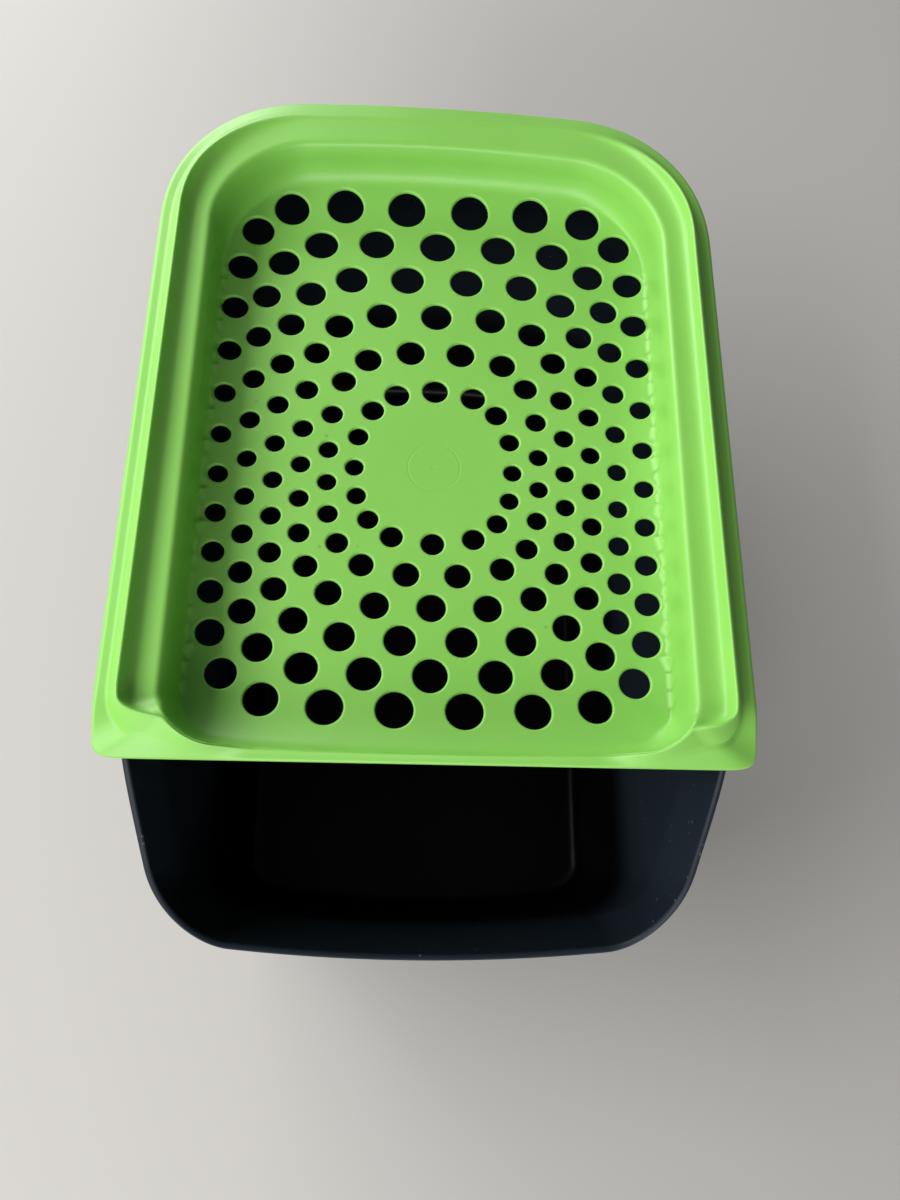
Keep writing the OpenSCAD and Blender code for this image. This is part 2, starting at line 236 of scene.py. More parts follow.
def make_piece(name: str, points: Array, quads: Array, triangles: Array,
               normals: Array) -> Object:
    """Puts worked-out arrays into a smooth mesh object at the origin, linked to the scene.

    Args:
        name: the piece's name.
        points: vertices in millimetres.
        quads: faces of four corners.
        triangles: faces of three corners.
        normals: one unit normal for each vertex.
    """
    mesh = bpy.data.meshes.new(name)
    corners = np.concatenate([quads.ravel(), triangles.ravel()]).astype(np.int32)
    sizes = np.concatenate([np.full(len(quads), 4), np.full(len(triangles), 3)])
    starts = np.concatenate([[0], np.cumsum(sizes)[:-1]]).astype(np.int32)
    mesh.vertices.add(len(points))
    mesh.vertices.foreach_set("co", (points * MM).ravel().astype(np.float32))
    mesh.loops.add(len(corners))
    mesh.loops.foreach_set("vertex_index", corners)
    mesh.polygons.add(len(sizes))
    mesh.polygons.foreach_set("loop_start", starts)
    mesh.polygons.foreach_set("use_smooth", np.ones(len(sizes), dtype=bool))
    mesh.update(calc_edges=True)
    mesh.validate()
    mesh.normals_split_custom_set_from_vertices(normals.astype(np.float32))
    piece = bpy.data.objects.new(name, mesh)
    bpy.context.scene.collection.objects.link(piece)
    return piece


@dataclass(frozen=True)
class VentPattern:
    """Rings of round holes on egg-shaped outlines about the tray's middle.

    Half axes are (side, back, front). Pairs hold the values of the first and the last ring. The
    turn's terms are in degrees, and each grows by its growth from ring to ring.
    """

    middle_y: float
    inner: tuple[float, float, float]
    outer: tuple[float, float, float]
    rings: int = 6
    first_count: int = 16
    step_count: int = 4
    inner_radius: float = 3.7
    outer_radius: float = 4.95
    swell: tuple[float, float] = (0.53, 1.63)
    lean: tuple[float, float] = (0.29, 0.49)
    turn: tuple[float, ...] = (0.2, 1.9, -1.4, 2.5, 0.26, 0.6)
    turn_growth: tuple[float, ...] = (-0.68, -0.15, 0.0, 0.3, 0.0, 0.0)
    power: float = 2.5
    power_growth: float = 0.85
    third_swell: float = -0.0018
    fourth_swell: float = 0.001

    def holes(self) -> Array:
        """Middles and radii of all holes.

        Ring k has its holes at even steps tau of the turn. The direction of a hole is tau plus a few
        sine terms. Its distance is a superellipse's radius that swells and shrinks by small cosine
        terms. Its radius is a mean plus a cosine of tau and of twice tau, so that holes grow towards
        front and back.

        Returns:
            Array of shape (holes, 3): x, y and radius.
        """
        found = []
        for k in range(self.rings):
            u = k / (self.rings - 1)
            count = self.first_count + self.step_count * k
            tau = 2 * np.pi * (np.arange(count) + 0.5 * (k % 2)) / count
            terms = np.array(self.turn) + k * np.array(self.turn_growth)
            angle = tau + np.radians(terms @ np.sin(np.outer(np.arange(1, len(terms) + 1), tau)))
            side, back, front = (mix(a, b, u) for a, b in zip(self.inner, self.outer))
            along = np.where(np.cos(angle) > 0, back, front)
            reach = super_radius(side, along, self.power + self.power_growth * k, angle)
            swelling = self.fourth_swell * np.cos(4 * tau) + self.third_swell * np.cos(3 * tau)
            reach = reach * (1 + k * swelling)
            radius = (mix(self.inner_radius, self.outer_radius, u) + mix(*self.lean, u) * np.cos(tau)
                      + mix(*self.swell, u) * np.cos(2 * tau))
            x, y = reach * np.sin(angle), self.middle_y + reach * np.cos(angle)
            found.append(np.stack([x, y, radius], axis=1))
        return np.concatenate(found)


def hole_distance(points: Array, holes: Array) -> Array:
    """Distances in plan from each point to each hole's middle, of shape (points, holes)."""
    return np.hypot(points[:, None, 0] - holes[:, 0], points[:, None, 1] - holes[:, 1])


@dataclass
class VentLid:
    """The one-piece lid: skirt, flange, ridge, ledge, dished tray with vents, and front lip.

    Sizes are in millimetres and angles in degrees. Heights that end in _z are above the floor of
    the tray, apart from floor_z itself. Powers are those of superelliptic corners.
    """

    floor_z: float
    half_w: float
    front_y: float
    back_y: float
    flange_w: float = 8.7
    fade_line_w: float = 8.4
    ledge_w: float = 10.1
    lip_ledge_w: float = 0.3
    taper_gain: float = 0.5
    back_band_w: float = 20.5
    lip_w: float = 2.8
    tray_taper: float = 1.2
    front_r: float = 16.0
    back_r: float = 32.0
    edge_front_power: float = 12.0
    edge_back_power: float = 2.3
    crest_power: float = 2.15
    lip_bow: float = 1.6
    back_bow: float = 6.0
    deepest_bow: float = 10.0
    shell_t: float = 1.8
    lip_t_share: float = 1.1
    ledge_z: float = 19.0
    ridge_h: float = 5.0
    ridge_fade: float = 0.94
    flange_drop: float = 2.0
    edge_fall_run: float = 20.0
    skirt_start: float = 2.0
    skirt_h: float = 10.5
    front_skirt_h: float = 1.6
    front_inner_h: float = 1.4
    groove_h: float = 3.6
    groove_foot: float = 0.43
    lip_z: float = 12.6
    lip_rise_x: float = 50.0
    lip_rise_run: float = 36.0
    front_edge_z: float = 11.6
    lip_fall: float = 0.3
    lip_step: float = 0.6
    step_h: float = 4.0
    open_from: float = 50.0
    open_over: float = 30.0
    fade_from: float = 0.15
    wall_start: float = 1.2
    front_wall_share: float = 0.3
    side_run: float = 2.2
    back_run: float = 4.6
    front_run: float = 6.0
    wall_power: float = 2.6
    dish_start: float = 0.85
    dish_side_h: float = 1.4
    dish_end_h: float = 3.0
    seam_share: float = 0.8
    most_under: float = 5.0
    vent_shift: float = 10.8
    inner_ring: tuple[float, float, float] = (27.3, 30.2, 28.4)
    vent_side_gap: float = 7.3
    vent_back_gap: float = 13.5
    vent_front_gap: float = 16.7
    hole_sides: int = 36
    hole_lip: float = 0.75
    hole_room: float = 1.1
    hole_wall_h: float = 0.6
    lattice_pitch: float = 3.4
    lattice_in: float = 13.5
    stations: Stations = field(default_factory=Stations)

    def __post_init__(self) -> None:
        """Works out the driving lines from the sizes."""
        self.crest_hw = self.half_w - self.flange_w
        self.tray_hw = self.crest_hw - self.ledge_w
        self.tray_front = self.front_y + self.lip_w + self.lip_bow
        self.tray_back = self.back_y - self.back_band_w - self.back_bow
        self.front_mid = (self.tray_hw - self.front_r, self.tray_front + self.front_r)
        self.back_mid = (self.tray_hw - self.back_r, self.tray_back - self.back_r)
        middle = (self.tray_front - self.lip_bow + self.tray_back + self.back_bow) / 2
        self.vent_y = middle - self.vent_shift
        back_ring = self.back_y - self.back_band_w - self.vent_y - self.vent_back_gap
        front_ring = self.vent_y - self.front_y - self.lip_w - self.vent_front_gap
        self.vents = VentPattern(middle_y=self.vent_y, inner=self.inner_ring,
                                 outer=(self.tray_hw - self.vent_side_gap, back_ring, front_ring))
        self.angle, self.faded = self.stations.corner_angle(), self.fade(self.stations.past_side())
        self.start, self.run = self.wall_top(self.angle), self.wall_run(self.angle, self.faded)
        top, foot = self.tray_line(self.start), self.tray_line(self.start + self.run)
        self.foot_turn, self.foot_reach = self.polar(*foot.T)
        front_dish = mix(self.dish_end_h, self.dish_side_h, smooth(self.angle / (np.pi / 2)))
        self.foot_dish = mix(front_dish, self.dish_end_h, self.faded)
        past = self.polar(*top.T)[1] / self.foot_reach
        self.top_dish = self.foot_dish * (1 + 2 * (past - 1) / (1 - self.dish_start))

    def polar(self, x: Array, y: Array) -> tuple[Array, Array]:
        """Turn away from the front, and reach, of plan points as seen from the rings' middle."""
        return np.arctan2(np.abs(x), self.vent_y - y), np.hypot(x, y - self.vent_y)

    def dish(self, x: Array, y: Array) -> Array:
        """Height of the floor's dish: a parabola of the reach near the wall's foot, straight past it."""
        turn, reach = self.polar(x, y)
        k = reach / np.interp(turn, self.foot_turn, self.foot_reach)
        share = np.maximum(k - self.dish_start, 0.0) / (1 - self.dish_start)
        profile = np.where(share > 1, 2 * share - 1, share ** 2)
        return np.interp(turn, self.foot_turn, self.foot_dish) * profile

    def wall_run(self, angle: Array, faded: Array) -> Array:
        """Width of the tray's wall in plan: narrow along the sides, wider at the back and the front."""
        return mix(mix(self.front_run, self.side_run, self.opened(angle)), self.back_run, faded)

    def outline(self, half_w: float, front: float, back: float, powers: tuple[float, float],
                lip_bow: float) -> Array:
        """Right half of an outline of the lid, given its sizes before the ends are bowed."""
        return Outline(half_w, front, back, self.front_mid, self.back_mid, powers[0], powers[1],
                       lip_bow, self.back_bow).walk(self.stations)

    def taper(self, y: Array) -> Array:
        """Scale of the tray's width at y: a little under 1 at the front and over 1 at the back."""
        front, back = self.tray_front - self.lip_bow, self.tray_back + self.back_bow
        return 1.0 + self.tray_taper / self.tray_hw * (y - (front + back) / 2) / (back - front)

    def tray_line(self, depth: Array) -> Array:
        """The tray's edge, moved inwards by depth and narrowed towards the front."""
        p = self.outline(self.tray_hw - depth, self.tray_front + depth, self.tray_back - depth,
                         (2.0, 2.0), self.lip_bow)
        return np.column_stack([p[:, 0] * self.taper(p[:, 1]), p[:, 1]])

    def edge_line(self, depth: float) -> Array:
        """The lid's outer edge, moved inwards by depth."""
        return self.outline(self.half_w - depth, self.front_y + depth,
                            self.back_y - self.back_bow - depth,
                            (self.edge_front_power, self.edge_back_power), 0.0)

    def opened(self, angle: Array) -> Array:
        """How far the ledge has opened out at a corner angle: 0 at the front lip, 1 along the sides."""
        return smooth((np.degrees(angle) - self.open_from) / self.open_over)

    def fade(self, past: Array) -> Array:
        """How far the ridge has faded, from the share of the back corner that is already passed."""
        return smooth((past - self.fade_from) / (1 - self.fade_from))

    def crest_line(self) -> Array:
        """The ridge's crest.

        Round the front corner it is the tray's edge pushed outwards by the ledge's width times how
        far the ledge has opened, which gives the S-shaped end of the ridge.
        """
        back = self.back_y - self.fade_line_w - self.back_bow
        side = self.outline(self.crest_hw, self.tray_front, back, (2.0, self.crest_power), self.lip_bow)
        angle, tray = self.angle, self.tray_line(0.0)
        ahead = angle < np.pi / 2
        width = self.crest_hw - tray[ahead.sum(), 0]
        out = mix(self.lip_ledge_w, width, self.opened(angle))[:, None]
        swept = tray + out * np.stack([np.sin(angle), -np.cos(angle)], axis=1)
        return np.where(ahead[:, None], swept, side)

    def crest_height(self, x: Array) -> Array:
        """Height of the crest above the tray's floor along the front, as a smoothstep of x."""
        share = smooth((np.abs(x) - self.lip_rise_x) / self.lip_rise_run)
        return mix(self.lip_z, self.ledge_z + self.ridge_h, share)

    def wall_climb(self, x: Array, angle: Array, turn: Array) -> Array:
        """Height that the tray's wall climbs above the dish.

        Args:
            x: distance from the middle, which counts along the front.
            angle: angle in the front corner.
            turn: turn away from the front, as seen from the rings' middle.
        """
        opened = self.opened(angle)
        out = self.front_r + mix(self.lip_ledge_w, self.ledge_w + self.taper_gain, opened)
        edge_x = np.where(angle > 0, self.front_mid[0] + out * np.sin(angle), x)
        edge_z = mix(self.crest_height(edge_x) - self.lip_fall, self.ledge_z, opened)
        step = mix(self.lip_step, self.step_h, opened)
        return edge_z - step - np.interp(turn, self.foot_turn, self.top_dish)

    def wall_rise(self, share: Array) -> Array:
        """Share of the climb at a share of the wall's run, on a quarter of a superellipse."""
        return 1.0 - (1.0 - share ** self.wall_power) ** (1.0 / self.wall_power)

    def wall_steepness(self, share: float) -> float:
        """Derivative of wall_rise, for a share under 1."""
        power = self.wall_power
        return share ** (power - 1.0) * (1.0 - share ** power) ** (1.0 / power - 1.0)

    def wall_top(self, angle: Array) -> Array:
        """Depth inside the tray's edge at which its wall begins."""
        return self.wall_start * mix(self.front_wall_share, 1.0, self.opened(angle))

    def tray_height(self, x: Array, y: Array) -> Array:
        """Height of the tray's surface above its floor's middle.

        The taper is first taken off x and the bow off y, in a few passes because the bow depends on
        the depth. The depth inside the tray's rounded edge then gives the superelliptic wall, which
        stands on the dish.

        Args:
            x, y: plan coordinates inside the top of the tray's wall, of any shape.
        """
        dish, turn = self.dish(x, y), self.polar(x, y)[0]
        x = np.abs(x) / self.taper(y)
        (fx, fy), (bx, by) = self.front_mid, self.back_mid
        depth = np.zeros_like(x)
        for _ in range(4):
            inner = np.clip(depth, 0.0, self.deepest_bow)
            share = np.maximum(0.0, 1.0 - (x / (self.tray_hw - inner)) ** 2)
            k_back, k_front = (share * self.back_bow / (self.back_r - inner),
                               share * self.lip_bow / (self.front_r - inner))
            plain = np.where(y > by, (y + k_back * by) / (1 + k_back), y)
            plain = np.where(y < fy, (y + k_front * fy) / (1 + k_front), plain)
            depth = np.minimum(self.tray_hw - x, np.minimum(plain - self.tray_front, self.tray_back - plain))
            in_front, in_back = (x > fx) & (plain < fy), (x > bx) & (plain > by)
            depth = np.where(in_front, self.front_r - np.hypot(x - fx, fy - plain), depth)
            depth = np.where(in_back, self.back_r - np.hypot(x - bx, plain - by), depth)
        angle = np.where(plain < fy, self.corner_turn(x - fx, fy - plain), np.pi / 2)
        past = np.where(plain > by, 1.0 - self.corner_turn(x - bx, plain - by) / (np.pi / 2), 0.0)
        run = self.wall_run(angle, self.fade(past))
        share = np.clip(1.0 - (depth - self.wall_top(angle)) / run, 0.0, 1.0)
        return self.wall_climb(x, angle, turn) * self.wall_rise(share) + dish

    @staticmethod
    def corner_turn(out: Array, ahead: Array) -> Array:
        """Angle in a corner, in radians, from the distances out and ahead of the corner's middle."""
        return np.arctan2(np.maximum(out, 0), np.maximum(ahead, CLOSE))

    def tray_normal(self, x: Array, y: Array) -> Array:
        """Unit normals of the tray's surface, from central differences of its height."""
        e = 0.04
        gx = (self.tray_height(x + e, y) - self.tray_height(x - e, y)) / (2 * e)
        gy = (self.tray_height(x, y + e) - self.tray_height(x, y - e)) / (2 * e)
        n = np.stack([-gx, -gy, np.ones_like(gx)], axis=-1)
        return n / np.linalg.norm(n, axis=-1, keepdims=True)

    def rim_grid(self) -> Array:
        """Everything outside the tray's wall: underside outwards, skirt, and top inwards.

        Returns:
            Array of shape (stations, rows, 3). Its first row and its last one lie one above the
            other on the lower part of the tray's wall, where the vented floor joins on.
        """
        z0 = self.floor_z
        tray, crest, edge = self.tray_line(0.0), self.crest_line(), self.edge_line(0.0)
        angle, faded, opened = self.angle, self.faded, self.opened(self.angle)
        side_crest = self.ledge_z + self.ridge_h * (1 - self.ridge_fade * faded)
        ahead = angle < np.pi / 2
        c = z0 + np.where(ahead, self.crest_height(crest[:, 0]), side_crest)
        run = edge[:, 1] - self.front_y
        e = z0 + mix(self.front_edge_z, self.ledge_z - self.flange_drop, smooth(run / self.edge_fall_run))
        skirt_share = smooth((run - self.skirt_start) / self.edge_fall_run)
        foot = e - mix(self.front_skirt_h, self.skirt_h, skirt_share)
        lip = mix(c - self.lip_fall, z0 + self.ledge_z, opened)
        plain = opened * (1 - faded)
        x, y = tray.T
        climb = self.wall_climb(x / self.taper(y), angle, self.polar(x, y)[0])

        def across(q_front: float, q_side: float) -> Array:
            """Plan points at q: 0 is the tray's edge, 1 the crest, 2 the outer edge."""
            q = mix(q_front, q_side, opened)[:, None]
            return np.where(q > 1, mix(crest, edge, q - 1), mix(tray, crest, q))

        def on_wall(share: float, drop: float = 0.0) -> Array:
            """A row on the tray's wall at a share of its run, or a drop below it along its normal."""
            depth = self.start + self.run * (1 - share)
            tilt = np.arctan(climb / self.run * self.wall_steepness(share)) if drop else 0.0 * depth
            x, y = self.tray_line(depth).T
            near_top = share >= 0.9
            level = climb * self.wall_rise(share) + self.dish(x, y) if near_top else self.tray_height(x, y)
            line = self.tray_line(depth - drop * np.sin(tilt))
            return with_height(line, z0 + level - drop * np.cos(tilt))

        def below_lip(q: float, q_side: float, z: Array, length: float,
                      count: int) -> Control:
            """A control row of the underside: below the front lip at q, and elsewhere at z."""
            lip_under = mix(c, e, max(0.0, q - 1)) - self.lip_t_share * self.shell_t
            return with_height(across(q, q_side), mix(lip_under, z, opened)), length, count

        flat = z0 + self.ledge_z - self.shell_t
        groove = mix(np.where(ahead, c, z0 + self.ledge_z + self.ridge_h) - self.groove_h, flat, faded)
        below_flange = mix(e, mix(c, e, self.groove_foot), faded) - self.shell_t
        inner_top = e - mix(self.front_inner_h, self.shell_t, skirt_share)
        seam = on_wall(self.seam_share)
        first = with_height(seam[:, :2], self.under_height(seam[:, 0], seam[:, 1]))
        controls = [
            (first, 0.0, 1),
            (on_wall(0.81, self.shell_t), 0.0, 1),
            (on_wall(0.91, self.shell_t), 0.0, 1),
            below_lip(0.85, 0.18, flat, 0.6, 4),
            below_lip(1.0, 0.87, flat, 0.0, 1),
            below_lip(1.1, 1.12, groove, 0.5, 3),
            below_lip(1.2, 1.34, below_flange, 0.0, 1),
            (with_height(self.edge_line(self.shell_t), inner_top), 0.5, 3),
            (with_height(self.edge_line(self.shell_t), foot), 0.3, 3),
            (with_height(edge, foot), 0.5, 4),
            (with_height(edge, e), mix(0.8, 2.0, skirt_share), 9),
        ]
        over = ((1.44, mix(mix(c, e, 0.5), e, plain), 1.6, 7), (1.05, c, 0.8, 6), (0.95, c, 0.8, 6),
                (0.85, mix(c, lip, 0.7), 1.8, 5), (0.68, mix(c, lip, 0.93), 1.6, 5), (0.42, lip, 1.4, 4))
        controls += [(with_height(across(q, q), z), length, count) for q, z, length, count in over]
        controls.append((with_height(tray, lip), 1.7, 8))
        controls += [(on_wall(share), 0.0, 1) for share in (1.0, 0.99, 0.965, 0.93, 0.89, 0.845)]
        return rounded_rows(controls + [(seam, 0.0, 1)])

    def under_height(self, x: Array, y: Array) -> Array:
        """Height of the tray's underside: the shell's thickness down along the slope, up to a limit."""
        slope = self.tray_normal(x, y)[:, 2]
        return self.floor_z + self.tray_height(x, y) - np.minimum(self.shell_t / slope, self.most_under)

    def floor_points(self) -> Array:
        """Plan points that carry the tray's surface between the holes.

        Returns:
            Rows parallel to the tray's edge down its wall, then a triangular lattice over the
            floor, without the points that would crowd a hole.
        """
        shares = (0.74, 0.67, 0.58, 0.47, 0.35, 0.22, 0.08)
        depths = [self.start + self.run * (1 - share) for share in shares]
        depths += [self.start + self.run + past for past in (0.3, 1.0, 1.9, 3.1, 4.7, 6.8)]
        rows = [full_ring(with_height(self.tray_line(depth), 0.0))[::2, :2] for depth in depths]
        pitch, count = self.lattice_pitch, np.arange(-90, 91)
        gx, gy = np.meshgrid(count * pitch, count * pitch * np.sqrt(3) / 2)
        gx = gx + 0.5 * pitch * (np.arange(len(gy))[:, None] % 2)
        lattice = np.stack([gx.ravel(), gy.ravel() + self.vent_y], axis=1)
        x, y = np.abs(lattice[:, 0]), lattice[:, 1]
        room = np.minimum(self.tray_hw - x, np.minimum(y - self.tray_front, self.tray_back - y))
        points = np.concatenate(rows + [lattice[room > self.lattice_in]])
        holes = self.vents.holes()
        return points[(hole_distance(points, holes) - holes[:, 2] > self.hole_room).all(axis=1)]

    def floor_triangles(self, flat: Array, n_seam: int, holes: Array) -> Array:
        """Triangles of the vented floor's plan, from a constrained Delaunay triangulation.

        Args:
            flat: plan points: the seam, the loops round the holes, and the points between.
            n_seam: number of points on the seam.
            holes: middles and radii.

        Returns:
            Corners, counterclockwise, of the triangles that don't lie in a hole.
        """
        sides = self.hole_sides
        seam = np.arange(n_seam)
        base = n_seam + sides * np.arange(len(holes))[:, None]
        step = np.arange(sides)[None]
        loop_edges = np.stack([base + step, base + (step + 1) % sides], axis=-1).reshape(-1, 2)
        edges = np.concatenate([np.stack([seam, (seam + 1) % n_seam], axis=1), loop_edges])
        corners = [Vector(p) for p in flat.tolist()]
        found = delaunay_2d_cdt(corners, [tuple(e) for e in edges.tolist()], [], 1, CLOSE, True)
        source = np.array([o[0] if o else -1 for o in found[3]])
        tri = source[np.array([f for f in found[2] if len(f) == 3])]
        tri = tri[(tri >= 0).all(axis=1)]
        reach = (holes[:, 2] + self.hole_lip) * np.cos(np.pi / sides)
        tri = tri[(hole_distance(flat[tri].mean(axis=1), holes) >= reach).all(axis=1)]
        ab, ac = flat[tri[:, 1]] - flat[tri[:, 0]], flat[tri[:, 2]] - flat[tri[:, 0]]
        turned = ab[:, 0] * ac[:, 1] - ab[:, 1] * ac[:, 0] < 0
        tri[turned] = tri[turned][:, ::-1]
        return tri

    def hole_rings(self, holes: Array, spokes: Array, facing: Array,
                   under_z: Array) -> tuple[list[Array], list[Array]]:
        """Rings that round each hole's edge and end its short wall.

        Each ring lies a distance out from the hole and a drop under the surface, and its normals
        lean from the surface's towards the hole's axis. Below the wall the hole flares out.

        Args:
            holes: middles and radii.
            spokes: unit vectors round a hole.
            facing: the surface's normals on the loops round the holes.
            under_z: heights of the underside on the same loops.

        Returns:
            The rings from the top down, and their normals, each of shape (holes, sides, 3).
        """
        inward = np.concatenate([-spokes, np.zeros((len(spokes), 1))], axis=1)[None]
        rings, normals = [], []
        for out, drop, lean in ((0.36, 0.04, 25.0), (0.13, 0.16, 50.0), (0.0, 0.45, 90.0)):
            p = holes[:, None, :2] + (holes[:, None, 2:3] + out) * spokes[None]
            z = self.floor_z + self.tray_height(p[..., 0], p[..., 1]) - drop
            rings.append(np.concatenate([p, z[..., None]], axis=-1))
            s = np.radians(lean)
            n = np.cos(s) * facing + np.sin(s) * inward
            normals.append(n / np.linalg.norm(n, axis=-1, keepdims=True))
        foot = rings[-1].copy()
        foot[..., 2] = np.maximum(foot[..., 2] - self.hole_wall_h, under_z + 0.2)
        return rings + [foot], normals + [np.broadcast_to(inward, foot.shape)]

    def build(self) -> Object:
        """Builds the lid as one closed mesh.

        The rim grid is one surface. The tray's floor is a triangulation of its plan, set on the
        height function above and, turned over, on the underside. Rings of quads join the two
        through each hole.

        Returns:
            The finished object.
        """
        grid = full_ring(self.rim_grid())
        stations, rows = grid.shape[:2]
        seam_under = np.arange(stations) * rows
        seam_top = seam_under + rows - 1

        holes, sides = self.vents.holes(), self.hole_sides
        turn = 2 * np.pi * np.arange(sides) / sides
        spokes = np.stack([np.cos(turn), np.sin(turn)], axis=1)
        loops = holes[:, None, :2] + (holes[:, None, 2:3] + self.hole_lip) * spokes[None]
        n_loop = len(holes) * sides
        flat = np.concatenate([grid[:, -1, :2], loops.reshape(-1, 2), self.floor_points()])
        tri = self.floor_triangles(flat, stations, holes)

        x, y = flat[stations:].T
        top = np.column_stack([x, y, self.floor_z + self.tray_height(x, y)])
        under = np.column_stack([x, y, self.under_height(x, y)])
        facing = self.tray_normal(flat[:stations + n_loop, 0], flat[:stations + n_loop, 1])
        rings, ring_normals = self.hole_rings(holes, spokes, facing[stations:].reshape(-1, sides, 3),
                                              under[:n_loop, 2].reshape(-1, sides))
        start_top = stations * rows
        start_under = start_top + len(top)
        start_ring = start_under + len(under)

        to_top = np.concatenate([seam_top, start_top + np.arange(len(top))])
        to_under = np.concatenate([seam_under, start_under + np.arange(len(under))])
        triangles = np.concatenate([to_top[tri], to_under[tri][:, ::-1]])
        starts = [start_top] + [start_ring + k * n_loop for k in range(len(rings))] + [start_under]
        ids = [(start + np.arange(n_loop)).reshape(-1, sides) for start in starts]
        quads = [ring_faces(stations, rows)]
        for u, v in zip(ids, ids[1:]):
            around = [u, np.roll(u, -1, axis=1), np.roll(v, -1, axis=1), v]
            quads.append(np.stack(around, axis=-1).reshape(-1, 4))
        quads = np.concatenate(quads)
        points = np.concatenate([grid.reshape(-1, 3), top, under] + [r.reshape(-1, 3) for r in rings])

        normals = vertex_normals(points, quads, triangles)
        normals[seam_top] = facing[:stations]
        normals[start_top:start_under] = self.tray_normal(x, y)
        normals[start_under:start_ring] = -normals[start_top:start_under]
        normals[start_ring:] = np.concatenate([n.reshape(-1, 3) for n in ring_normals])
        return make_piece("vent_lid", points, quads, triangles, normals)


